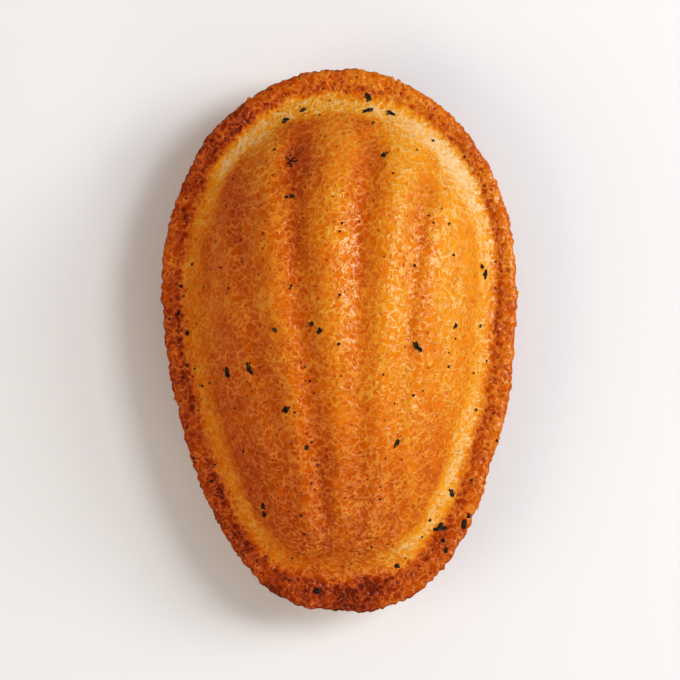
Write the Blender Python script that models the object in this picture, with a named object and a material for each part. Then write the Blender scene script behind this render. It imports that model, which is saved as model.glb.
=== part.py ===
"""Madeleine: a shell-shaped sponge cake that lies on its humped back with the ribbed shell face up.

Metres, +Z up. The wide end points to +Y and the narrow end to -Y. The origin is under the middle of
the outline, on the surface that the cake rests on.

From the edge inwards, the shell face has a flat rim, a plain concave band and a ribbed dome. The
underside has a flat rim and a hump that ends in a small flat foot.
"""

import math

import bmesh
import bpy
import numpy as np

# Outline, seen from above
LENGTH = 0.0770
WIDTH = 0.0505
WIDE_END = 0.40 * LENGTH  # from the wide tip to the widest line
WIDE_ROUNDNESS = 2.05  # superellipse exponents: 2 is an ellipse, more is blunter
NARROW_ROUNDNESS = 2.6
NARROW_TAPER = 0.12  # how much slimmer the narrow end is than its superellipse
TAPER_ENDS = 0.9  # of the way from the widest line to the narrow tip
NARROW_BEND = 0.0011  # how far the narrow tip has strayed to +X
BEND_POWER = 1.6  # above 1, the bend gathers near the tip

# Rim, band and dome
RIM_THICKNESS = 0.0022
RIM_WIDTH = 0.0027
RIM_EXTRA_WIDE_TIP = 0.0007
RIM_EXTRA_NARROW_TIP = 0.0021
RIM_WIDEST_WAY = (0.35, -0.937)  # the rim is widest just to +X of the narrow tip
RIM_FALLOFF = 1.7  # how fast that extra width dies out to both sides
BAND_WIDTH = 0.0026
BAND_EXTRA_TIPS = 0.0005
BAND_RISE = 0.0022
BAND_CURVE = 1.5  # 1 is a straight slope, more is hollower
DOME_RISE = 0.0126
DOME_ARC = 0.89  # the share of a quarter circle's radius that the dome's section spans

# Ribs of the shell, which fan out from a point beyond the narrow end
RIBS = 7
RIB_DEPTH = 0.0015
RIB_DEPTH_NARROW_LEFT = 0.40  # share of the depth that is left at the narrow end, on the -X side
RIB_DEPTH_NARROW_RIGHT = 0.12  # and on the +X side
RIB_DEPTH_SIDE = 0.08  # share of the depth that is left on the outermost ribs
RIB_DIES_LEFT = (0.30, 0.90)  # shares of the way out on the fan between which it sinks to that
RIB_DIES_RIGHT = (0.40, 0.95)
RIB_DEEPENS = (-0.45, 0.22)  # shares of the length between which the depth grows to its full value
RIB_FADES = (0.82, 1.00)  # shares of the way to the dome's edge between which the ribs die out
RIB_SOFTNESS = 0.35  # rounds the bottoms of the valleys
FAN_BEYOND_TIP = 0.035
FAN_SPREAD = 0.232  # slope of the fan's outer lines
FAN_STRAY = 0.0017  # how far the fan's middle line strays to -X towards the wide end
FAN_STRAYS = (-0.50, 0.26)  # shares of the length between which the stray grows
FAN_RETURN = 0.0009  # how far the middle line comes back beyond that
FAN_RETURNS = (0.20, 0.38)

# Hump and foot
HUMP_HEIGHT = 0.0085
HUMP_CENTRE_Y = 0.0030
HUMP_FULLNESS = 2.5
HUMP_EDGE_BLEND = 1.35
HUMP_MARGIN = 0.0030  # the flat rim on the underside
FOOT_SHARE = 0.34  # radius of the flat foot, as a share of the hump's

# Mesh
SEGMENTS = 128
DOME_RINGS = 22
BAND_RINGS = 3
LIP_STEPS = 4
HUMP_RINGS = 8
OUTLINE_SAMPLES = 4096

CRUST_COLOR = (0.66, 0.21, 0.025, 1.0)
CRUST_ROUGHNESS = 0.75

WIDEST_Y = LENGTH / 2 - WIDE_END
NARROW_END = LENGTH - WIDE_END
RIM_BOTTOM = HUMP_HEIGHT
RIM_TOP = RIM_BOTTOM + RIM_THICKNESS
BAND_TOP = RIM_TOP + BAND_RISE
LIP_RADIUS = RIM_THICKNESS / 2


def smoothstep(low, high, value):
    t = min(max((value - low) / (high - low), 0.0), 1.0)
    return t * t * (3 - 2 * t)


def bend(y):
    """How far the cake's middle line lies to +X at this y."""
    return NARROW_BEND * (max(WIDEST_Y - y, 0) / NARROW_END) ** BEND_POWER


def outline_point(angle):
    """A point of the outline: 0 on the +X side of the widest line, a quarter turn at the wide tip."""
    across, along = math.cos(angle), math.sin(angle)
    wide = along >= 0
    power = 2 / (WIDE_ROUNDNESS if wide else NARROW_ROUNDNESS)
    reach = abs(along) ** power
    half_width = WIDTH / 2 * abs(across) ** power
    if wide:
        return math.copysign(half_width, across), WIDEST_Y + WIDE_END * reach
    half_width *= 1 - NARROW_TAPER * smoothstep(0, TAPER_ENDS, reach)
    y = WIDEST_Y - NARROW_END * reach
    return math.copysign(half_width, across) + bend(y), y


def even_outline(count):
    """The outline as points an even distance apart, with their outward directions."""
    turns = np.linspace(0, 2 * math.pi, OUTLINE_SAMPLES + 1)
    fine = np.array([outline_point(turn) for turn in turns])
    steps = np.linalg.norm(np.diff(fine, axis=0), axis=1)
    distance = np.concatenate([[0], np.cumsum(steps)])
    wanted = np.arange(count) / count * distance[-1]
    points = np.column_stack([np.interp(wanted, distance, fine[:, k]) for k in (0, 1)])
    along = np.roll(points, -1, axis=0) - np.roll(points, 1, axis=0)
    along /= np.linalg.norm(along, axis=1)[:, None]
    return points, np.column_stack([along[:, 1], -along[:, 0]])


def rim_widths(outward):
    """How wide the rim is at each point of the outline."""
    wide_tip = np.clip(outward[:, 1], 0, 1) ** 2
    narrow_tip = np.clip(outward @ np.array(RIM_WIDEST_WAY), 0, 1) ** RIM_FALLOFF
    return RIM_WIDTH + RIM_EXTRA_WIDE_TIP * wide_tip + RIM_EXTRA_NARROW_TIP * narrow_tip


def band_widths(outward):
    """How wide the plain band is at each point of the outline."""
    return BAND_WIDTH + BAND_EXTRA_TIPS * outward[:, 1] ** 2


def fan_middle(y):
    """Where the crest of the middle rib lies at this y."""
    along = y / LENGTH
    return bend(y) - FAN_STRAY * smoothstep(*FAN_STRAYS, along) + FAN_RETURN * smoothstep(*FAN_RETURNS, along)


def rib_relief(x, y, share):
    """How far the dome lies below its ribs' crests; share is 0 at the crown and 1 at the dome's edge."""
    slope = (x - fan_middle(y)) / (y + LENGTH / 2 + FAN_BEYOND_TIP)
    fan = min(max(slope / FAN_SPREAD, -1), 1)
    crest = math.sqrt(math.cos(RIBS * math.asin(fan)) ** 2 + RIB_SOFTNESS**2)
    crest = (crest - RIB_SOFTNESS) / (math.sqrt(1 + RIB_SOFTNESS**2) - RIB_SOFTNESS)
    left = fan < 0
    narrow = RIB_DEPTH_NARROW_LEFT if left else RIB_DEPTH_NARROW_RIGHT
    along = narrow + (1 - narrow) * smoothstep(*RIB_DEEPENS, y / LENGTH)
    dies = RIB_DIES_LEFT if left else RIB_DIES_RIGHT
    across = 1 - (1 - RIB_DEPTH_SIDE) * smoothstep(*dies, abs(fan))
    fade = 1 - smoothstep(*RIB_FADES, share)
    return RIB_DEPTH * along * across * fade * (1 - crest)


def dome_ring(share, edge):
    """A ring of the ribbed dome, share of the way from the crown to the dome's edge."""
    crown = np.array([fan_middle(WIDEST_Y), WIDEST_Y])
    flat_edge = math.sqrt(1 - DOME_ARC**2)
    rise = (math.sqrt(1 - (DOME_ARC * share) ** 2) - flat_edge) / (1 - flat_edge)
    ring = []
    for x, y in crown + share * (edge - crown):
        ring.append((x, y, BAND_TOP + DOME_RISE * rise - rib_relief(x, y, share)))
    return ring


def hump_ring(share, edge):
    """A ring of the underside, share of the way from the middle of the foot to the hump's edge."""

    def bulge(at):
        return (1 - at**HUMP_FULLNESS) ** HUMP_EDGE_BLEND

    height = RIM_BOTTOM * (1 - bulge(max(share, FOOT_SHARE)) / bulge(FOOT_SHARE))
    middle = np.array([0.0, HUMP_CENTRE_Y])
    return [(x, y, height) for x, y in middle + share * (edge - middle)]


def inset_ring(points, outward, inset, height):
    """A ring at one height, moved in from the outline by a distance or a list of distances."""
    moved = points - outward * np.broadcast_to(inset, len(points))[:, None]
    return [(x, y, height) for x, y in moved]


def cake_rings():
    """All rings of the cake's surface, from just off the crown to the flat foot."""
    points, outward = even_outline(SEGMENTS)
    rim, band = rim_widths(outward), band_widths(outward)
    dome_edge = points - outward * (rim + band)[:, None]
    hump_edge = points - outward * HUMP_MARGIN
    rings = [dome_ring((k + 1) / DOME_RINGS, dome_edge) for k in range(DOME_RINGS)]
    for k in range(1, BAND_RINGS + 1):
        out = k / BAND_RINGS
        height = RIM_TOP + BAND_RISE * (1 - out) ** BAND_CURVE
        rings.append(inset_ring(points, outward, rim + band * (1 - out), height))
    for k in range(LIP_STEPS + 1):
        tip = math.pi * k / LIP_STEPS
        inset = LIP_RADIUS * (1 - math.sin(tip))
        rings.append(inset_ring(points, outward, inset, RIM_BOTTOM + LIP_RADIUS * (1 + math.cos(tip))))
    for k in range(HUMP_RINGS):
        share = 1 - (1 - FOOT_SHARE) * k / (HUMP_RINGS - 1)
        rings.append(hump_ring(share, hump_edge))
    return rings


def material(name, color, roughness):
    made = bpy.data.materials.new(name)
    made.use_nodes = True
    shader = made.node_tree.nodes["Principled BSDF"]
    shader.inputs["Base Color"].default_value = color
    shader.inputs["Roughness"].default_value = roughness
    shader.inputs["Metallic"].default_value = 0.0
    made.diffuse_color = color
    return made


def madeleine(collection):
    """A sphere whose rings become the cake's rings, from the crown down to the foot."""
    rings = cake_rings()
    latitudes = len(rings) + 1
    mesh = bmesh.new()
    bmesh.ops.create_uvsphere(mesh, u_segments=SEGMENTS, v_segments=latitudes, radius=1)
    for vertex in mesh.verts:
        ring = round(math.acos(max(-1.0, min(1.0, vertex.co.z))) / math.pi * latitudes)
        segment = round(math.atan2(vertex.co.y, vertex.co.x) / (2 * math.pi) * SEGMENTS) % SEGMENTS
        if ring == 0:
            vertex.co = (fan_middle(WIDEST_Y), WIDEST_Y, BAND_TOP + DOME_RISE)
        elif ring == latitudes:
            vertex.co = (0, HUMP_CENTRE_Y, 0)
        else:
            vertex.co = rings[ring - 1][segment]
    bmesh.ops.recalc_face_normals(mesh, faces=mesh.faces)
    data = bpy.data.meshes.new("madeleine")
    mesh.to_mesh(data)
    mesh.free()
    data.shade_smooth()
    data.materials.append(material("golden_crust", CRUST_COLOR, CRUST_ROUGHNESS))
    collection.objects.link(bpy.data.objects.new("madeleine", data))


def main():
    for old in list(bpy.data.objects):
        bpy.data.objects.remove(old)
    cakes = bpy.data.collections.new("madeleine_cake")
    bpy.context.scene.collection.children.link(cakes)
    madeleine(cakes)


main()
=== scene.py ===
import math
import random

import bmesh
import bpy
import numpy as np
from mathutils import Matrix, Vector, noise
from mathutils.bvhtree import BVHTree
from mathutils.kdtree import KDTree


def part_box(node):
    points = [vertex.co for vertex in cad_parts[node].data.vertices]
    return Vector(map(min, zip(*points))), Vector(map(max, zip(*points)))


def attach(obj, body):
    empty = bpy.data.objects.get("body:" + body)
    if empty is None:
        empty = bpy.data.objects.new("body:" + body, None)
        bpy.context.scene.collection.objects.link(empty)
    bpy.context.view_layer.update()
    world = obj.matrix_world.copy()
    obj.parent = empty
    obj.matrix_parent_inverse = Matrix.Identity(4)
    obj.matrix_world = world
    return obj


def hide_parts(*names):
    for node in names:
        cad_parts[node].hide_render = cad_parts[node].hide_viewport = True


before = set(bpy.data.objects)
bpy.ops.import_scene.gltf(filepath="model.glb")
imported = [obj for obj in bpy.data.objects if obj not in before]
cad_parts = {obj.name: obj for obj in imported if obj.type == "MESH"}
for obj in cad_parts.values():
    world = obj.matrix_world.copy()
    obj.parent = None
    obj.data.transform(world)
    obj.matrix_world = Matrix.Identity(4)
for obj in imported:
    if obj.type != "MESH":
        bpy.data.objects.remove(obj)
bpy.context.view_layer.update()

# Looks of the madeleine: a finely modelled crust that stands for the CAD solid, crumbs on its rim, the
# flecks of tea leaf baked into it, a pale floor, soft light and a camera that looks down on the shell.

NODE = "madeleine"
BODY = "root"
MM = 0.001

# ---------------------------------------------------------------- sizes, in metres
LOW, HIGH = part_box(NODE)
LENGTH = HIGH.y - LOW.y
WIDTH = HIGH.x - LOW.x
HEIGHT = HIGH.z - LOW.z

WIDE_END = 0.40 * LENGTH  # from the wide tip to the widest line
WIDEST_Y = HIGH.y - WIDE_END
NARROW_END = LENGTH - WIDE_END
WIDE_ROUNDNESS = 2.05  # superellipse exponents
NARROW_ROUNDNESS = 2.6
NARROW_TAPER = 0.12
TAPER_ENDS = 0.9
NARROW_BEND = 1.1 * MM  # how far the narrow tip has strayed to +X
BEND_POWER = 1.6

HUMP_HEIGHT = 8.5 * MM
RIM_THICKNESS = 2.2 * MM
RIM_WIDTH = 2.7 * MM
RIM_EXTRA_WIDE_TIP = 0.7 * MM
RIM_EXTRA_NARROW_TIP = 2.1 * MM
RIM_WIDEST_WAY = np.array([0.35, -0.937])  # the rim is widest just to +X of the narrow tip
RIM_FALLOFF = 1.7
BAND_WIDTH = 2.6 * MM
BAND_EXTRA_TIPS = 0.5 * MM
BAND_RISE = 2.2 * MM
BAND_CURVE = 1.5
LIP_RADIUS = RIM_THICKNESS / 2
RIM_BOTTOM = HUMP_HEIGHT
RIM_TOP = RIM_BOTTOM + RIM_THICKNESS
BAND_TOP = RIM_TOP + BAND_RISE
DOME_RISE = HEIGHT - BAND_TOP
DOME_ARC = 0.89

RIBS = 7
RIB_DEPTH = 1.5 * MM
RIB_DEPTH_NARROW = (0.40, 0.12)  # share of the depth that is left at the narrow end: -X side, +X side
RIB_DEPTH_SIDE = 0.08  # share of the depth that is left on the outermost ribs
RIB_DIES_LEFT = (0.30, 0.90)  # shares of the way out on the fan between which it sinks to that
RIB_DIES_RIGHT = (0.40, 0.95)
RIB_DEEPENS = (-0.45, 0.22)
RIB_FADES = (0.82, 1.00)
RIB_SOFTNESS = 0.35
FAN_BEYOND_TIP = 35 * MM
FAN_SPREAD = 0.232
FAN_STRAY = 1.7 * MM  # how far the middle rib has strayed to -X at the wide end
FAN_STRAYS = (-0.50, 0.26)
FAN_RETURN = 0.9 * MM  # how far it comes back beyond that
FAN_RETURNS = (0.20, 0.38)

HUMP_CENTRE_Y = 3 * MM
HUMP_FULLNESS = 2.5
HUMP_EDGE_BLEND = 1.35
HUMP_MARGIN = 3 * MM
FOOT_SHARE = 0.34

# Mesh: cells across and along the shell face, rows round the lip. The underside has half as many.
ACROSS, ALONG, LIP_ROWS = 212, 312, 9
DOME_RING, BAND_RING = 0.78, 0.885  # where the dome and the band end, as shares of the way out
OUTLINE_SAMPLES = 8192

# Browning, with painted light and shade mixed in: 0 is pale crust, 1 is the darkest brown. Places are in
# millimetres from the middle.
BAND_LIT_SIDE = np.array([0.86, 0.50])  # the side towards the light, where the band is painted palest: painted light, partly the band's own browning
# the rim likewise is painted paler towards the light and browner away from it: painted light and shade
RIM_LIT_SIDE = np.array([0.75, 0.66])
STAINS_AND_PAINTED_LIGHT = (  # x, y, reach across, reach along, strength; browning stains, with painted shade along the rib valleys and on the left, and painted highlight on the lit right
    (-5.8, 26.0, 3.0, 5.0, 0.13),
    (-6.0, 15.0, 1.7, 9.0, 0.13),
    (-5.0, 3.0, 1.4, 9.0, 0.06),
    (4.4, 25.5, 1.8, 5.0, 0.04),
    (3.0, 14.0, 1.3, 9.0, 0.10),
    (-1.0, 30.3, 9.0, 1.5, 0.03),
    (-13.0, 19.0, 4.5, 8.0, 0.07),
    (-15.0, 4.0, 4.0, 12.0, 0.05),
    (11.5, 20.0, 1.6, 5.0, 0.05),
    (12.2, 9.0, 1.2, 8.0, 0.06),
    (-2.2, 14.0, 1.2, 12.0, 0.07),
    (-1.5, -14.0, 1.2, 14.0, 0.07),
    # Paler marks on the lit right half of the dome: painted highlight
    (15.0, 0.0, 3.0, 13.0, -0.08),
    (15.5, 17.0, 3.0, 7.0, -0.10),
    (12.5, 24.5, 4.0, 5.0, -0.15),
    (8.3, 4.0, 1.8, 15.0, -0.10),
    (15.5, 8.0, 2.5, 13.0, -0.04),
    (-3.0, 23.0, 1.5, 5.0, 0.07),
    (6.0, 18.0, 1.5, 7.0, 0.06),
    (14.0, 18.0, 1.2, 5.0, 0.05),
    (-11.0, -8.0, 3.0, 7.0, 0.05),
    (-4.0, -12.0, 2.0, 4.0, 0.04),
    (5.0, -27.0, 5.0, 4.0, -0.06),
    (9.0, -13.0, 2.5, 9.0, -0.05),
    (-10.0, 27.5, 4.0, 2.5, -0.12),
    (9.0, 28.5, 5.0, 2.5, -0.13),
)
# Rim marks in the same columns: browning stains, with painted shade on the left and lower left and painted
# light on the right
RIM_STAINS_AND_PAINTED_LIGHT = (
    (-18.0, 27.0, 9.0, 9.0, 0.22),
    (0.0, -37.0, 14.0, 5.0, 0.17),
    (-25.0, 0.0, 4.0, 12.0, 0.06),
    (25.0, 5.0, 3.0, 14.0, -0.06),
    (17.0, -24.0, 5.0, 7.0, 0.05),
    (2.0, 38.0, 10.0, 4.0, -0.03),
    (-17.0, -27.0, 7.0, 9.0, 0.13),
)
# Band marks in the same columns: browning stains, with painted shade at the narrow end and on the left, and
# painted light on the upper left and upper right
BAND_STAINS_AND_PAINTED_LIGHT = (
    (22.0, 2.0, 5.0, 10.0, 0.08),
    (0.0, -32.5, 9.0, 4.0, 0.18),
    (14.5, -20.5, 5.0, 7.0, -0.06),
    (14.5, 24.5, 8.0, 7.0, -0.18),
    (-13.5, 24.5, 6.0, 6.0, -0.28),
    (-21.0, 0.0, 4.0, 14.0, 0.05),
    (0.0, 33.0, 9.0, 4.0, -0.05),
)

CAMERA_LENS, CAMERA_SENSOR = 180.0, 36.0  # millimetres, as cameras give them
CAKE_IN_FRAME = 0.80  # of the frame's height


# ---------------------------------------------------------------- form
def smoothstep(low, high, value):
    t = np.clip((value - low) / (high - low), 0.0, 1.0)
    return t * t * (3 - 2 * t)


def mix(a, b, share):
    return a + (b - a) * share


def bend(y):
    """How far the cake's middle line lies to +X at this y."""
    return NARROW_BEND * (np.maximum(WIDEST_Y - y, 0) / NARROW_END) ** BEND_POWER


def fan_middle(y):
    """Where the crest of the middle rib lies at this y."""
    back = FAN_RETURN * smoothstep(*FAN_RETURNS, y / LENGTH)
    return bend(y) + back - FAN_STRAY * smoothstep(*FAN_STRAYS, y / LENGTH)


def outline_point(angle):
    """Points of the outline: 0 on the +X side of the widest line, a quarter turn at the wide tip."""
    across, along = np.cos(angle), np.sin(angle)
    wide = along >= 0
    power = 2 / np.where(wide, WIDE_ROUNDNESS, NARROW_ROUNDNESS)
    reach = np.abs(along) ** power
    taper = np.where(wide, 0, NARROW_TAPER * smoothstep(0, TAPER_ENDS, reach))
    half_width = WIDTH / 2 * np.abs(across) ** power * (1 - taper)
    y = WIDEST_Y + np.where(wide, WIDE_END, -NARROW_END) * reach
    return np.stack([np.sign(across) * half_width + bend(y), y], axis=-1)


class Outline:
    """The cake's outline by turn, from 0 to 1 once round against the clock."""

    def __init__(self):
        fine = outline_point(np.linspace(0, 2 * math.pi, OUTLINE_SAMPLES + 1))
        steps = np.linalg.norm(np.diff(fine, axis=0), axis=1)
        distance = np.concatenate([[0], np.cumsum(steps)])
        self.round = distance[-1]
        self.tip = distance[OUTLINE_SAMPLES // 4] / self.round  # turn of the wide tip
        even = np.arange(OUTLINE_SAMPLES) / OUTLINE_SAMPLES * self.round
        self.points = np.stack([np.interp(even, distance, fine[:, k]) for k in (0, 1)], axis=-1)
        along = np.roll(self.points, -4, axis=0) - np.roll(self.points, 4, axis=0)
        along /= np.linalg.norm(along, axis=1)[:, None]
        self.outward = np.stack([along[:, 1], -along[:, 0]], axis=-1)

    def at(self, turn):
        """Point and outward direction at each turn."""
        place = np.mod(turn, 1.0) * OUTLINE_SAMPLES
        first = np.floor(place).astype(int) % OUTLINE_SAMPLES
        after, share = (first + 1) % OUTLINE_SAMPLES, (place - np.floor(place))[:, None]
        point = mix(self.points[first], self.points[after], share)
        outward = mix(self.outward[first], self.outward[after], share)
        return point, outward / np.linalg.norm(outward, axis=1)[:, None]


def rim_width(outward):
    wide_tip = np.clip(outward[:, 1], 0, 1) ** 2
    narrow_tip = np.clip(outward @ RIM_WIDEST_WAY, 0, 1) ** RIM_FALLOFF
    return RIM_WIDTH + RIM_EXTRA_WIDE_TIP * wide_tip + RIM_EXTRA_NARROW_TIP * narrow_tip


def band_width(outward):
    return BAND_WIDTH + BAND_EXTRA_TIPS * outward[:, 1] ** 2


def valley_depth(x, y):
    """0 on the crest of a rib and 1 at the bottom of a valley; and how far out on the fan, -1 to 1."""
    slope = (x - fan_middle(y)) / (y + LENGTH / 2 + FAN_BEYOND_TIP)
    fan = np.clip(slope / FAN_SPREAD, -1, 1)
    crest = np.sqrt(np.cos(RIBS * np.arcsin(fan)) ** 2 + RIB_SOFTNESS**2)
    crest = (crest - RIB_SOFTNESS) / (math.sqrt(1 + RIB_SOFTNESS**2) - RIB_SOFTNESS)
    return 1 - crest, fan


def rib_relief(x, y, share):
    """How far the dome lies below its ribs' crests."""
    valley, fan = valley_depth(x, y)
    along = mix(np.where(fan < 0, *RIB_DEPTH_NARROW), 1, smoothstep(*RIB_DEEPENS, y / LENGTH))
    out = np.where(fan < 0, smoothstep(*RIB_DIES_LEFT, -fan), smoothstep(*RIB_DIES_RIGHT, fan))
    across = mix(1, RIB_DEPTH_SIDE, out)
    return RIB_DEPTH * along * across * (1 - smoothstep(*RIB_FADES, share)) * valley


class Form:
    """The cake's smooth surface, as points by ring (the way out) and turn (the way round)."""

    def __init__(self, outline):
        self.outline = outline
        self.crown = np.array([float(fan_middle(WIDEST_Y)), WIDEST_Y])
        point, outward = outline.at(np.linspace(0, 1, OUTLINE_SAMPLES, endpoint=False))
        edge = point - outward * (rim_width(outward) + band_width(outward))[:, None]
        from_crown = edge - self.crown
        angle = np.arctan2(from_crown[:, 1], from_crown[:, 0])
        order = np.argsort(angle)
        self.edge_angle = angle[order]
        self.edge_reach = np.linalg.norm(from_crown, axis=1)[order]

    def dome_share(self, x, y):
        """0 at the crown, 1 at the dome's edge."""
        x, y = x - self.crown[0], y - self.crown[1]
        reach = np.interp(np.arctan2(y, x), self.edge_angle, self.edge_reach, period=2 * math.pi)
        return np.hypot(x, y) / reach

    def face(self, ring, turn):
        """The shell face, from its middle (ring 0) to the top of the lip (ring 1)."""
        point, outward = self.outline.at(turn)
        rim, band = rim_width(outward), band_width(outward)
        edge = point - outward * (rim + band)[:, None]
        inner = np.clip(ring / DOME_RING, 0, 1)
        over_band = np.clip((ring - DOME_RING) / (BAND_RING - DOME_RING), 0, 1)
        over_rim = np.clip((ring - BAND_RING) / (1 - BAND_RING), 0, 1)
        inset = rim + band * (1 - over_band)
        inset = np.where(over_rim > 0, mix(rim, LIP_RADIUS, over_rim), inset)
        plan = np.where((ring <= DOME_RING)[:, None], edge * inner[:, None], point - outward * inset[:, None])
        x, y = plan.T
        share = np.minimum(self.dome_share(x, y), 1.0)
        flat = math.sqrt(1 - DOME_ARC**2)
        rise = (np.sqrt(1 - (DOME_ARC * share) ** 2) - flat) / (1 - flat)
        dome = BAND_TOP + DOME_RISE * rise - rib_relief(x, y, share)
        slope = RIM_TOP + BAND_RISE * (1 - over_band) ** BAND_CURVE
        return np.column_stack([x, y, np.where(ring <= DOME_RING, dome, slope)])

    def lip(self, share, turn):
        """A row round the rounded edge of the rim: 0 on its top, 1 on its underside."""
        point, outward = self.outline.at(turn)
        tip = math.pi * share
        plan = point - outward * LIP_RADIUS * (1 - math.sin(tip))
        height = RIM_BOTTOM + LIP_RADIUS * (1 + math.cos(tip))
        return np.column_stack([plan, np.full(len(plan), height)])

    def underside(self, ring, turn):
        """The humped back, from the middle of the foot (ring 0) to the hump's edge (ring 1)."""
        point, outward = self.outline.at(turn)
        edge = point - outward * HUMP_MARGIN
        middle = np.array([0, HUMP_CENTRE_Y])
        plan = middle + ring[:, None] * (edge - middle)

        def bulge(at):
            return (1 - at**HUMP_FULLNESS) ** HUMP_EDGE_BLEND

        height = RIM_BOTTOM * (1 - bulge(np.maximum(ring, FOOT_SHARE)) / bulge(FOOT_SHARE))
        return np.column_stack([plan, height])


# ---------------------------------------------------------------- mesh of the crust
def disc_grid(across, along, tip):
    """A square grid bent into a disc: the ring (0 in the middle, 1 on the edge) and turn of its points."""
    i, j = np.meshgrid(np.arange(across + 1), np.arange(along + 1), indexing="ij")
    u, v = (2 * i / across - 1).ravel(), (2 * j / along - 1).ravel()
    ring = np.maximum(np.abs(u), np.abs(v))
    safe = np.where(ring == 0, 1, ring)
    right, top, left = u == ring, v == ring, u == -ring
    step = np.select(
        [right, top, left],
        [
            along / 2 * (1 + v / safe),
            along + across / 2 * (1 - u / safe),
            1.5 * along + across - along / 2 * v / safe,
        ],
        2 * along + across + across / 2 * (1 + u / safe),
    )
    total = 2 * (across + along)
    return ring, tip + (step - along - across / 2) / total


def grid_edge(across, along):
    """Indices of the grid's outer points, in the order of the turn."""
    right = [across * (along + 1) + j for j in range(along)]
    top = [i * (along + 1) + along for i in range(across, 0, -1)]
    left = [j for j in range(along, 0, -1)]
    bottom = [i * (along + 1) for i in range(across)]
    return np.array(right + top + left + bottom)


def grid_faces(across, along):
    i, j = np.meshgrid(np.arange(across), np.arange(along), indexing="ij")
    first = (i * (along + 1) + j).ravel()
    return np.stack([first, first + along + 1, first + along + 2, first + 1], axis=-1)


class CrustGrid:
    """Points and faces of the closed crust: the shell face, the lip's rows and the underside."""

    def __init__(self, form):
        tip = form.outline.tip
        self.ring, self.turn = disc_grid(ACROSS, ALONG, tip)
        edge = grid_edge(ACROSS, ALONG)
        around = self.turn[edge]
        rows = [form.lip((k + 1) / LIP_ROWS, around) for k in range(LIP_ROWS)]
        under_ring, under_turn = disc_grid(ACROSS // 2, ALONG // 2, tip)
        face = form.face(self.ring, self.turn)
        self.points = np.concatenate([face, *rows, form.underside(under_ring, under_turn)])

        count = len(edge)
        self.under_start = len(face) + LIP_ROWS * count
        lines = [edge] + [len(face) + k * count + np.arange(count) for k in range(LIP_ROWS)]
        strips = []
        for upper, lower in zip(lines[:-1], lines[1:]):
            strips.append(np.stack([lower, np.roll(lower, -1), np.roll(upper, -1), upper], axis=-1))
        self.faces = [tuple(f) for f in np.concatenate([grid_faces(ACROSS, ALONG), *strips]).tolist()]
        self.first_under_face = len(self.faces)
        coarse = self.under_start + grid_edge(ACROSS // 2, ALONG // 2)
        fine, after = lines[-1], np.roll(coarse, -1)
        first, second, third = fine[0::2], fine[1::2], np.roll(fine, -2)[0::2]
        for triangle in ((coarse, second, first), (coarse, after, second), (after, third, second)):
            self.faces += [tuple(f) for f in np.stack(triangle, axis=-1).tolist()]
        under = grid_faces(ACROSS // 2, ALONG // 2)[:, ::-1] + self.under_start
        self.faces += [tuple(f) for f in under.tolist()]

        lip = np.ones(LIP_ROWS * count)
        self.lip_share = np.concatenate([0 * self.ring, np.repeat(np.arange(LIP_ROWS) + 1, count) / LIP_ROWS, 0 * under_ring])
        self.ring = np.concatenate([self.ring, lip, under_ring])
        self.turn = np.concatenate([self.turn, np.tile(around, LIP_ROWS), under_turn])
        order = np.arange(len(self.points))
        self.is_face = order < len(face)
        self.is_under = order >= self.under_start


def noise_at(points, size, seed):
    """Smooth noise of about -1 to 1, with bumps of this size."""
    shift = Vector((seed * 7.31, seed * 3.17, seed * 5.53))
    return np.array([noise.noise(Vector(p) + shift) for p in (points / size).tolist()]) * 1.6


def cells_at(points, size, seed):
    """Cells of about this size, like open bubbles: 1 in a cell's middle, 0 on the walls between."""
    shift = Vector((seed * 7.31, seed * 3.17, seed * 5.53))
    found = []
    for p in (points / size).tolist():
        place = Vector(p) + shift
        near = noise.voronoi(place + 0.35 * noise.noise_vector(place * 1.3))[0]
        found.append(min((near[1] - near[0]) * 2.2, 1.0))
    return np.array(found)


def crests_at(points, size, seed):
    """Winding crests about this size apart: 1 on a crest, 0 in the dips between."""
    return (1 - np.minimum(np.abs(noise_at(points, size, seed)) / 0.55, 1)) ** 1.4


def vertex_normals(mesh):
    found = np.empty(len(mesh.vertices) * 3, np.float32)
    mesh.vertex_normals.foreach_get("vector", found)
    return found.reshape(-1, 3).astype(float)


def scatter_along_rim(rng, form, count, low_inset, high_inset):
    """Seeded plan points whose insets are shares of the rim's width."""
    turn = np.array([rng.random() for _ in range(count)])
    inset = np.array([rng.uniform(low_inset, high_inset) for _ in range(count)])
    point, outward = form.outline.at(turn)
    return point - outward * (inset * rim_width(outward))[:, None]


def bake_map(mesh, grid, form):
    """A map with two islands: the shell face with the lip laid flat round it, and the underside."""
    x, y = grid.points[:, 0], grid.points[:, 1]
    outward = form.outline.at(grid.turn)[1]
    rolled_out = outward * (math.pi * LIP_RADIUS * grid.lip_share)[:, None]
    edge = form.outline.at(grid.turn)[0] - outward * LIP_RADIUS
    flat = np.where((grid.lip_share > 0)[:, None], edge + rolled_out, np.column_stack([x, y]))
    reach = 2 * (WIDTH + 6 * LIP_RADIUS)
    top = flat / reach + (0.25, 0.5)
    under = np.column_stack([x, y]) / reach + (0.75, 0.5)
    corners = np.empty(len(mesh.loops), np.int32)
    mesh.loops.foreach_get("vertex_index", corners)
    sizes = np.empty(len(mesh.polygons), np.int32)
    mesh.polygons.foreach_get("loop_total", sizes)
    is_under = np.repeat(np.arange(len(sizes)) >= grid.first_under_face, sizes)
    places = np.where(is_under[:, None], under[corners], top[corners])
    layer = mesh.uv_layers.new(name="OFBake")
    layer.uv.foreach_set("vector", places.astype(np.float32).ravel())


def add_values(mesh, **values):
    for name, value in values.items():
        mesh.attributes.new(name, "FLOAT", "POINT").data.foreach_set("value", value.astype(np.float32))


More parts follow.
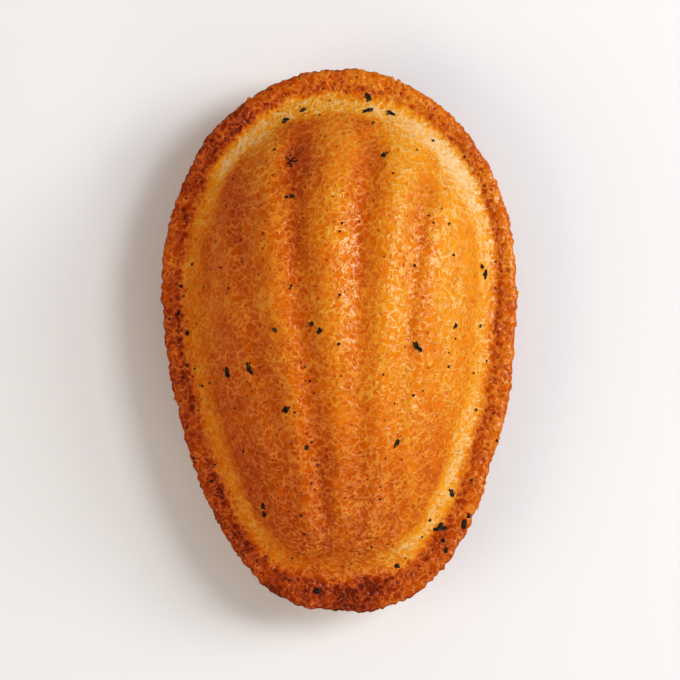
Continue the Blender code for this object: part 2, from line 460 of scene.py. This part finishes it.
def stains_and_painted_light_at(x, y, stains_and_painted_light):
    return sum(
        strength * np.exp(-(((x / MM - sx) / across) ** 2) - ((y / MM - sy) / along) ** 2)
        for sx, sy, across, along, strength in stains_and_painted_light
    )


def crust_object(form):
    rng = random.Random(11)
    grid = CrustGrid(form)
    points, ring, is_face, is_under = grid.points, grid.ring, grid.is_face, grid.is_under
    mesh = bpy.data.meshes.new("madeleine_crust")
    mesh.from_pydata(points.tolist(), [], grid.faces)
    normal = vertex_normals(mesh)
    x, y, _ = points.T
    outline_xy, outward = form.outline.at(grid.turn)

    swell = noise_at(points, 15 * MM, 1)
    lumps = noise_at(points, 4.5 * MM, 2)
    crumb = noise_at(points, 1.5 * MM, 3)
    grain = noise_at(points, 0.7 * MM, 4)
    bubbles = cells_at(points, 0.95 * MM, 6)
    coarse = cells_at(points, 1.5 * MM, 14)
    crests = crests_at(points, 1.3 * MM, 17)

    # How much of each zone a point belongs to; the borders wander a little
    wander = ring + 0.010 * noise_at(points, 3 * MM, 5) + 0.010 * grain
    rim = np.where(is_face, smoothstep(BAND_RING - 0.004, BAND_RING + 0.030, wander), 1.0)
    rim = np.where(is_under, smoothstep(0.90, 1.0, wander), rim)
    band = np.where(is_face, smoothstep(DOME_RING - 0.030, DOME_RING + 0.030, wander) * (1 - rim), 0.0)
    dome = np.where(is_face, 1 - rim - band, 0.0)
    back = np.where(is_under, 1 - rim, 0.0)

    relief = 0.16 * swell * (1 - 0.6 * rim)
    relief += lumps * (0.09 * dome + 0.05 * band + 0.13 * rim + 0.10 * back)
    relief += crumb * (0.045 * dome + 0.035 * band + 0.07 * rim + 0.03 * back)
    relief += grain * (0.030 * dome + 0.025 * band + 0.03 * rim + 0.03 * back)
    relief += (0.5 - bubbles) * (0.05 * dome + 0.04 * band + 0.09 * rim + 0.05 * back)
    relief += (crests - 0.4) * (0.10 * dome + 0.09 * band + 0.08 * rim + 0.10 * back)
    relief += (0.5 - coarse) * (0.03 * dome + 0.02 * band + 0.09 * rim + 0.03 * back)
    relief += np.where(is_under, 0.35 * noise_at(points, 11 * MM, 7) * smoothstep(0.34, 0.6, ring), 0)
    moved = points + normal * (relief * MM)[:, None]

    edge_points = np.column_stack([outline_xy, np.zeros(len(points))])
    teeth = 0.24 * cells_at(edge_points, 1.9 * MM, 8) - 0.20 + 0.08 * noise_at(points, 0.9 * MM, 13)
    teeth += 0.20 * noise_at(points, 9 * MM, 9)
    at_edge = np.where(is_face, smoothstep(BAND_RING, 1.0, ring), 1.0)
    at_edge = np.where(is_under, smoothstep(0.9, 1.0, ring), at_edge)
    moved[:, :2] += outward * (teeth * MM * at_edge)[:, None]

    # Pits: a row in the corner between rim and band, and more on the rim
    pits = np.zeros(len(points))
    tree = KDTree(int(is_face.sum()))
    for k in np.flatnonzero(is_face):
        tree.insert((x[k], y[k], 0), int(k))
    tree.balance()
    corner = scatter_along_rim(rng, form, 90, 0.80, 1.02)
    on_rim = scatter_along_rim(rng, form, 110, 0.45, 0.90)
    for places, small, large, deep in ((corner, 0.28, 0.50, 0.14), (on_rim, 0.28, 0.50, 0.12)):
        for px, py in places:
            radius = rng.uniform(small, large) * MM
            for _, k, distance in tree.find_range((px, py, 0), radius):
                bowl = (1 - (distance / radius) ** 2) ** 2
                pits[k] = max(pits[k], bowl)
                moved[k] -= normal[k] * bowl * deep * MM
    moved[:, 2] = np.maximum(moved[:, 2], 0.0)
    mesh.vertices.foreach_set("co", moved.astype(np.float32).ravel())
    mesh.update()

    valley, fan = valley_depth(x, y)
    valley = valley * (1 - 0.7 * fan**2)
    low, high = smoothstep(0.08, -0.45, y / LENGTH), smoothstep(-0.1, 0.42, y / LENGTH)
    patches, small_patches = noise_at(points, 7 * MM, 10), noise_at(points, 2.5 * MM, 12)
    stains_and_painted_light, rim_stains_and_painted_light, band_stains_and_painted_light = (stains_and_painted_light_at(x, y, table) for table in (STAINS_AND_PAINTED_LIGHT, RIM_STAINS_AND_PAINTED_LIGHT, BAND_STAINS_AND_PAINTED_LIGHT))
    # How far each point of the band and rim faces away from the light: they are painted browner there,
    # painted shade
    away, rim_away = (0.5 - 0.5 * (outward @ side) for side in (BAND_LIT_SIDE, RIM_LIT_SIDE))
    wander += 0.012 * lumps
    rim_color = np.where(is_face, smoothstep(BAND_RING - 0.055, BAND_RING + 0.045, wander), rim)
    to_edge = np.where(is_face, smoothstep(0.90, 0.99, ring), smoothstep(1.0, 0.7, grid.lip_share))
    # Darker towards the left, the side away from the light: partly the dome's own browning, partly painted
    # shade
    left = smoothstep(2, -16, x / MM)
    dome, band, rim = dome * (1 - rim_color), (1 - dome - back) * (1 - rim_color), rim_color
    # Darker in the rib valleys, most towards the wide end where they are deepest: partly browning, partly
    # painted shade
    browning = dome * (0.42 + 0.11 * left + 0.20 * low + 0.08 * valley * (1 + high) + stains_and_painted_light)
    browning += dome * 0.035 * patches + band * 0.04 * patches
    browning += band * (0.205 + 0.24 * away + band_stains_and_painted_light)
    rim_tone = 0.62 + 0.14 * rim_away - 0.08 * to_edge + rim_stains_and_painted_light
    browning += rim * (rim_tone + 0.05 * patches + 0.04 * small_patches + 0.10 * bubbles)
    browning += back * (0.50 + 0.12 * smoothstep(0.3, 1.0, ring))
    browning += 0.03 * small_patches - 0.08 * (crests - 0.4)
    add_values(mesh, browning=browning, pits=pits, rim=rim, crests=crests)
    bake_map(mesh, grid, form)
    mesh.shade_smooth()
    return bpy.data.objects.new("madeleine_crust", mesh)


# ---------------------------------------------------------------- flecks and crumbs
def ball(levels):
    """Points and faces of a round ball of radius 1."""
    made = bmesh.new()
    bmesh.ops.create_icosphere(made, subdivisions=levels, radius=1)
    points = np.array([v.co for v in made.verts])
    faces = np.array([[v.index for v in f.verts] for f in made.faces])
    made.free()
    return points, faces


class Bits:
    """Many small irregular bits in one mesh."""

    def __init__(self, name, rng):
        self.name, self.rng = name, rng
        self.points, self.faces, self.values, self.count = [], [], [], 0
        self.balls = {levels: ball(levels) for levels in (2, 3)}

    def add(self, place, up, yaw, size, levels=2, rough=0.3, curl=0.0, value=0.5):
        """One bit: its size is length, width and thickness, and its middle lies at place."""
        points, faces = self.balls[levels]
        seed = Vector([self.rng.uniform(-50, 50) for _ in range(3)])
        swell = np.array([1 + rough * 1.6 * noise.noise(Vector(p) * 1.7 + seed) for p in points])
        shaped = points * swell[:, None] * np.array(size) / 2
        shaped[:, 2] += curl * shaped[:, 0] ** 2 / max(size[0], 1e-9)
        ahead = Vector((math.cos(yaw), math.sin(yaw), 0))
        ahead = (ahead - up * ahead.dot(up)).normalized()
        axes = np.array([ahead, up.cross(ahead), up])
        self.points.append(shaped @ axes + np.array(place))
        self.faces.append(faces + self.count)
        self.values.append(np.full(len(points), value))
        self.count += len(points)

    def object(self, value_name=None):
        mesh = bpy.data.meshes.new(self.name)
        faces = np.concatenate(self.faces)
        mesh.from_pydata(np.concatenate(self.points).tolist(), [], faces.tolist())
        if value_name:
            add_values(mesh, **{value_name: np.concatenate(self.values)})
        mesh.shade_smooth()
        return bpy.data.objects.new(self.name, mesh)


# Flecks that show best: x, y, length, width in millimetres, and turn in degrees from +X
BIG_FLECKS = (
    (4.0, 34.4, 1.4, 0.60, 95), (3.8, 32.3, 1.5, 0.50, 35), (7.3, 32.0, 1.0, 0.45, -40),
    (-7.8, 30.9, 0.9, 0.60, 60), (-7.4, 31.1, 0.6, 0.35, -20), (-5.1, 32.5, 0.6, 0.50, 60),
    (-6.7, 25.1, 1.0, 0.22, 55), (-7.3, 25.3, 0.8, 0.20, -35), (-6.3, 24.9, 0.7, 0.25, 5),
    (-6.8, 24.3, 0.8, 0.25, 100), (-7.2, 24.6, 0.7, 0.18, 20), (-6.9, 25.8, 0.5, 0.18, 80),
    (-6.6, 19.9, 0.6, 0.50, 0), (-7.4, 19.8, 0.4, 0.35, 40), (6.1, 25.8, 0.6, 0.55, 90),
    (20.0, 10.4, 0.6, 0.50, 125), (20.5, 9.3, 1.1, 0.60, 75), (10.5, -0.7, 0.9, 0.60, -75), (11.0, -1.2, 1.1, 0.40, -42),
    (-12.5, -4.0, 1.6, 0.55, -65),
    (-15.7, -4.6, 1.3, 0.55, -70), (-7.5, -9.6, 1.2, 0.55, 30), (7.9, -14.3, 1.3, 0.50, 55),
    (-10.8, -23.2, 1.0, 0.65, 95), (-10.6, -24.5, 0.7, 0.55, 110), (15.8, -21.7, 1.1, 0.50, -50), (18.2, -24.9, 0.6, 0.50, 60),
    (17.6, -26.0, 1.3, 0.55, 70), (13.9, -26.7, 1.9, 0.60, 5), (14.2, -26.3, 0.9, 0.70, 60),
    (15.0, -29.7, 0.9, 0.50, 75), (14.6, -28.4, 0.5, 0.45, 20), (-3.3, -35.5, 0.9, 0.75, 10),
    (-3.9, 2.2, 0.6, 0.50, 20), (-2.8, 1.2, 0.7, 0.60, 70), (-9.0, 1.4, 1.0, 0.45, -35),
    (-21.6, 1.0, 0.7, 0.45, 80), (16.1, 1.9, 0.7, 0.45, 60), (-4.6, -14.8, 0.6, 0.50, 40),
    (8.1, -32.0, 0.7, 0.50, 10), (12.7, -25.5, 0.5, 0.30, 80), (18.6, -19.8, 0.4, 0.35, 0),
    (-22.5, 7.6, 0.4, 0.35, 90), (-22.1, 6.2, 0.35, 0.30, 20), (-22.9, 3.8, 0.45, 0.35, 60),
    (-21.7, -3.6, 0.4, 0.35, 90), (-19.4, -6.5, 0.4, 0.30, 10), (19.8, 2.0, 0.45, 0.35, 75),
    (-0.2, -0.6, 0.35, 0.35, 0), (10.3, 10.3, 0.4, 0.35, 40), (-6.7, 7.5, 0.35, 0.30, 80),
)
SMALL_FLECKS = {1: 130, -1: 120}  # how many on the shell face and on the underside
SMALL_FLECK_SIZE = (0.20, 0.42)  # millimetres
BACK_FLECKS = 26
FLECK_CLEARANCE = 0.5  # millimetres: none sits nearer to the surface that the cake rests on


def fleck_object(crust):
    """Flecks of tea leaf, half sunk into the crust."""
    rng = random.Random(5)
    bits = Bits("tea_flecks", rng)
    tree = BVHTree.FromPolygons(
        [v.co for v in crust.data.vertices], [tuple(p.vertices) for p in crust.data.polygons]
    )

    def place_one(x, y, side, length, width, yaw, levels):
        hit, normal, _, _ = tree.ray_cast(Vector((x * MM, y * MM, side * 0.1)), Vector((0, 0, -side)))
        if hit is None or hit.z < FLECK_CLEARANCE * MM:
            return
        size = (1.1 * length * MM, 1.1 * width * MM, min(width, 0.45) * 0.9 * MM)
        curl = rng.uniform(-0.4, 0.2)
        bits.add(hit + normal * 0.03 * MM, normal, math.radians(yaw), size, levels, 0.60, curl)

    for x, y, length, width, yaw in BIG_FLECKS:
        place_one(x, y, 1, length, width, yaw, 3)
    for _ in range(BACK_FLECKS):
        x, y = rng.uniform(-22, 22), rng.uniform(-34, 34)
        place_one(x, y, -1, rng.uniform(0.7, 1.6), rng.uniform(0.4, 0.7), rng.uniform(0, 180), 3)
    for side, count in SMALL_FLECKS.items():
        for _ in range(count):
            x, y = rng.uniform(-25, 25), rng.uniform(-38, 38)
            long, slim = rng.uniform(*SMALL_FLECK_SIZE), rng.uniform(0.6, 1.0)
            place_one(x, y, side, long, long * slim, rng.uniform(0, 180), 2)
    return bits.object()


CRUMBS = 160
CRUMB_SIZE = (0.25, 0.60)  # millimetres


def crumb_object(crust):
    """Crumbs that stick to the rim's top and edge."""
    rng = random.Random(23)
    bits = Bits("rim_crumbs", rng)
    mesh = crust.data
    rim = np.empty(len(mesh.vertices), np.float32)
    mesh.attributes["rim"].data.foreach_get("value", rim)
    browning = np.empty(len(mesh.vertices), np.float32)
    mesh.attributes["browning"].data.foreach_get("value", browning)
    for k in rng.sample(np.flatnonzero(rim > 0.7).tolist(), CRUMBS):
        vertex = mesh.vertices[k]
        long = rng.uniform(*CRUMB_SIZE) * MM
        size = (long, long * rng.uniform(0.6, 0.95), long * rng.uniform(0.5, 0.8))
        place = vertex.co + vertex.normal * size[2] * rng.uniform(-0.05, 0.25)
        value = float(browning[k]) + rng.uniform(-0.22, 0.06)
        bits.add(place, vertex.normal, rng.uniform(0, math.tau), size, 2, 0.4, 0.0, value)
    return bits.object("browning")


# ---------------------------------------------------------------- materials
class Nodes:
    """A material's node tree, with short calls for the nodes used here."""

    def __init__(self, name):
        self.material = bpy.data.materials.new(name)
        self.material.use_nodes = True
        self.tree = self.material.node_tree
        self.shader = self.tree.nodes["Principled BSDF"]
        self.place = self.add("ShaderNodeTexCoord").outputs["Object"]
        self.warped = self.warp(0.9 * MM, 0.5 * MM)

    def add(self, kind, **settings):
        node = self.tree.nodes.new(kind)
        for key, value in settings.items():
            setattr(node, key, value)
        return node

    def link(self, source, target):
        self.tree.links.new(source, target)

    def attribute(self, name):
        return self.add("ShaderNodeAttribute", attribute_name=name).outputs["Fac"]

    def math(self, operation, a, b=0.0):
        node = self.add("ShaderNodeMath", operation=operation)
        for socket, value in zip(node.inputs, (a, b)):
            if isinstance(value, (int, float)):
                socket.default_value = value
            else:
                self.link(value, socket)
        return node.outputs[0]

    def plus(self, value, other, strength, middle=0.0):
        """value + (other - middle) * strength."""
        scaled = self.add("ShaderNodeMath", operation="MULTIPLY_ADD")
        self.link(other, scaled.inputs[0])
        scaled.inputs[1].default_value = strength
        scaled.inputs[2].default_value = -middle * strength
        return self.math("ADD", value, scaled.outputs[0])

    def warp(self, size, reach):
        """Places pushed about by noise, so that what is drawn there curls."""
        swirl = self.add("ShaderNodeTexNoise")
        swirl.inputs["Scale"].default_value = 1 / size
        self.link(self.place, swirl.inputs["Vector"])
        push = self.add("ShaderNodeVectorMath", operation="MULTIPLY_ADD")
        self.link(swirl.outputs["Color"], push.inputs[0])
        push.inputs[1].default_value = (2 * reach,) * 3
        self.link(self.place, push.inputs[2])
        return push.outputs["Vector"]

    def noise(self, size, detail=2.0, roughness=0.5, place=None):
        node = self.add("ShaderNodeTexNoise")
        node.inputs["Scale"].default_value = 1 / size
        node.inputs["Detail"].default_value = detail
        node.inputs["Roughness"].default_value = roughness
        self.link(place or self.place, node.inputs["Vector"])
        return node.outputs["Fac"]

    def dots(self, spacing, radius):
        """1 in scattered dots of this radius, 0 between them."""
        node = self.add("ShaderNodeTexVoronoi")
        node.inputs["Scale"].default_value = 1 / spacing
        self.link(self.place, node.inputs["Vector"])
        return self.range(node.outputs["Distance"], 0.65 * radius / spacing, radius / spacing, 1.0, 0.0)

    def ridges(self, size, width):
        """1 along winding lines about this size apart, and 0 beside them."""
        field = self.noise(size, 1.0, 0.4, self.warped)
        away = self.math("ABSOLUTE", self.math("SUBTRACT", field, 0.5))
        return self.range(away, 0.0, width, 1.0, 0.0, True)

    def holes(self, spacing, radius):
        """Open bubbles of mixed sizes: 1 inside them and 0 outside; and 1 on the rings round them."""
        cells = self.add("ShaderNodeTexVoronoi")
        cells.inputs["Scale"].default_value = 1 / spacing
        self.link(self.warped, cells.inputs["Vector"])
        own = self.add("ShaderNodeSeparateColor")
        self.link(cells.outputs["Color"], own.inputs["Color"])
        reach = self.range(own.outputs["Red"], 0.0, 1.0, 0.3 * radius / spacing, radius / spacing)
        ratio = self.math("DIVIDE", cells.outputs["Distance"], reach)
        inside = self.range(ratio, 0.3, 1.0, 1.0, 0.0, True)
        off_ring = self.math("ABSOLUTE", self.math("SUBTRACT", ratio, 1.2))
        return inside, self.range(off_ring, 0.0, 0.5, 1.0, 0.0, True)

    def range(self, value, low, high, to_low=0.0, to_high=1.0, smooth=False):
        node = self.add("ShaderNodeMapRange", interpolation_type="SMOOTHSTEP" if smooth else "LINEAR")
        node.inputs["From Min"].default_value = low
        node.inputs["From Max"].default_value = high
        node.inputs["To Min"].default_value = to_low
        node.inputs["To Max"].default_value = to_high
        self.link(value, node.inputs["Value"])
        return node.outputs["Result"]

    def ramp(self, value, stops):
        node = self.add("ShaderNodeValToRGB")
        elements = node.color_ramp.elements
        while len(elements) < len(stops):
            elements.new(1.0)
        for element, (position, color) in zip(elements, stops):
            element.position = position
            element.color = (*color, 1.0)
        self.link(value, node.inputs["Fac"])
        return node.outputs["Color"]

    def bump(self, height, distance):
        node = self.add("ShaderNodeBump")
        node.inputs["Distance"].default_value = distance
        self.link(height, node.inputs["Height"])
        for name in ("Normal", "Coat Normal"):
            self.link(node.outputs["Normal"], self.shader.inputs[name])


CRUST_COLORS = (
    (0.00, (0.84, 0.54, 0.24)),
    (0.15, (0.80, 0.42, 0.110)),
    (0.22, (0.78, 0.35, 0.040)),
    (0.30, (0.75, 0.285, 0.006)),
    (0.50, (0.67, 0.165, 0.003)),
    (0.65, (0.52, 0.088, 0.001)),
    (0.80, (0.36, 0.042, 0.001)),
    (0.92, (0.23, 0.022, 0.001)),
    (1.00, (0.13, 0.012, 0.001)),
)


def crust_material(name, fine_crust):
    n = Nodes(name)
    fine = n.noise(0.40 * MM, 2.0, 0.6)
    speck = n.noise(0.85 * MM, 2.0, 0.5)
    blotch = n.noise(3.2 * MM, 3.0, 0.55)
    calm = n.range(n.noise(4.5 * MM, 2.0, 0.5), 0.38, 0.62, 0.80, 1.0)
    curls = n.math("MULTIPLY", n.ridges(1.1 * MM, 0.17), calm)
    inside, rings = n.holes(1.1 * MM, 0.50 * MM)
    pinholes = n.dots(1.9 * MM, 0.25 * MM)

    shade = n.plus(n.attribute("browning"), fine, 0.07, 0.5)
    shade = n.plus(shade, speck, 0.08, 0.5)
    shade = n.plus(shade, blotch, 0.11, 0.5)
    # Darker pinholes and bubble insides: partly the crumb's own colour, partly painted shade in the holes
    shade = n.plus(shade, pinholes, 0.20)
    shade = n.plus(shade, inside, 0.08)
    threads, thin_rings = n.range(curls, 0.55, 0.95), n.range(rings, 0.50, 0.95)
    shade = n.plus(n.plus(shade, threads, -0.20, 0.15), thin_rings, -0.11, 0.15)
    if fine_crust:
        # Darker in the rim's pits: partly browning, partly painted shade
        shade = n.plus(shade, n.attribute("pits"), 0.23)
    n.link(n.ramp(shade, CRUST_COLORS), n.shader.inputs["Base Color"])

    height = n.plus(n.plus(curls, rings, 0.7), inside, -0.7)
    height = n.plus(n.plus(height, fine, 0.25), pinholes, -1.0)
    n.bump(height, 0.05 * MM)
    n.link(n.range(speck, 0.3, 0.7, 0.5, 0.7), n.shader.inputs["Roughness"])
    n.shader.inputs["Specular IOR Level"].default_value = 0.04
    glaze = n.math("MAXIMUM", curls, rings)
    n.link(n.range(glaze, 0.25, 0.75, 0.0, 1.0), n.shader.inputs["Coat Weight"])
    n.shader.inputs["Coat IOR"].default_value = 1.6
    n.shader.inputs["Coat Roughness"].default_value = 0.31
    return n.material


LEAF_COLORS = (
    (0.40, (0.008, 0.005, 0.003)),
    (0.58, (0.024, 0.017, 0.011)),
    (0.72, (0.085, 0.062, 0.038)),
)


def leaf_material():
    n = Nodes("tea_leaf")
    grain = n.noise(0.35 * MM)
    n.link(n.ramp(grain, LEAF_COLORS), n.shader.inputs["Base Color"])
    n.link(n.range(grain, 0.35, 0.65, 0.45, 0.65), n.shader.inputs["Roughness"])
    n.bump(n.noise(0.3 * MM), 0.05 * MM)
    n.shader.inputs["Specular IOR Level"].default_value = 0.14
    return n.material


# ---------------------------------------------------------------- stage
def add_floor():
    bpy.ops.mesh.primitive_plane_add(size=4)
    floor = bpy.context.object
    floor.name = "floor"
    material = bpy.data.materials.new("pale_floor")
    material.use_nodes = True
    shader = material.node_tree.nodes["Principled BSDF"]
    shader.inputs["Base Color"].default_value = (0.84, 0.885, 0.96, 1)
    shader.inputs["Roughness"].default_value = 0.7
    floor.data.materials.append(material)
    floor.visible_glossy = False


def add_light(name, place, size, power, color=(1, 1, 1), glints=True):
    lamp = bpy.data.lights.new(name, "AREA")
    lamp.shape = "SQUARE"
    lamp.size = size
    lamp.energy = power
    lamp.color = color
    made = bpy.data.objects.new(name, lamp)
    made.location = place
    made.rotation_euler = (Vector((0, 0, RIM_TOP)) - Vector(place)).to_track_quat("-Z", "Y").to_euler()
    made.visible_glossy = glints
    bpy.context.scene.collection.objects.link(made)


def add_camera():
    """A long lens straight above, with +Y up in the picture."""
    camera = bpy.data.objects.new("camera", bpy.data.cameras.new("camera"))
    camera.data.lens, camera.data.sensor_width = CAMERA_LENS, CAMERA_SENSOR
    distance = LENGTH / CAKE_IN_FRAME * CAMERA_LENS / CAMERA_SENSOR
    camera.location = (0, 0, RIM_TOP + distance)
    bpy.context.scene.collection.objects.link(camera)
    bpy.context.scene.camera = camera


def add_world():
    world = bpy.data.worlds.new("studio")
    world.use_nodes = True
    background = world.node_tree.nodes["Background"]
    background.inputs["Color"].default_value = (1, 0.95, 0.90, 1)
    background.inputs["Strength"].default_value = 0.36
    world.cycles_visibility.glossy = False
    bpy.context.scene.world = world
    bpy.context.scene.view_settings.view_transform = "Standard"


def place_piece(made, material):
    bpy.context.scene.collection.objects.link(made)
    made.data.materials.append(material)
    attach(made, BODY)


form = Form(Outline())
crust = crust_object(form)
place_piece(crust, crust_material("golden_crust", True))
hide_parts(NODE)
place_piece(crumb_object(crust), crust_material("crumb_crust", False))
place_piece(fleck_object(crust), leaf_material())

add_floor()
add_light("key", (0.40, 0.16, 0.56), 0.22, 1.9, glints=False)
add_light("side", (0.60, 0.14, 0.36), 0.26, 2.5, (1.0, 0.95, 0.86))
add_light("front", (0.24, -0.60, 0.36), 0.24, 0.6, (1.0, 0.85, 0.60))
add_light("fill", (-0.55, -0.20, 0.45), 0.5, 1.9, (1.0, 0.70, 0.42), glints=False)
add_camera()
add_world()
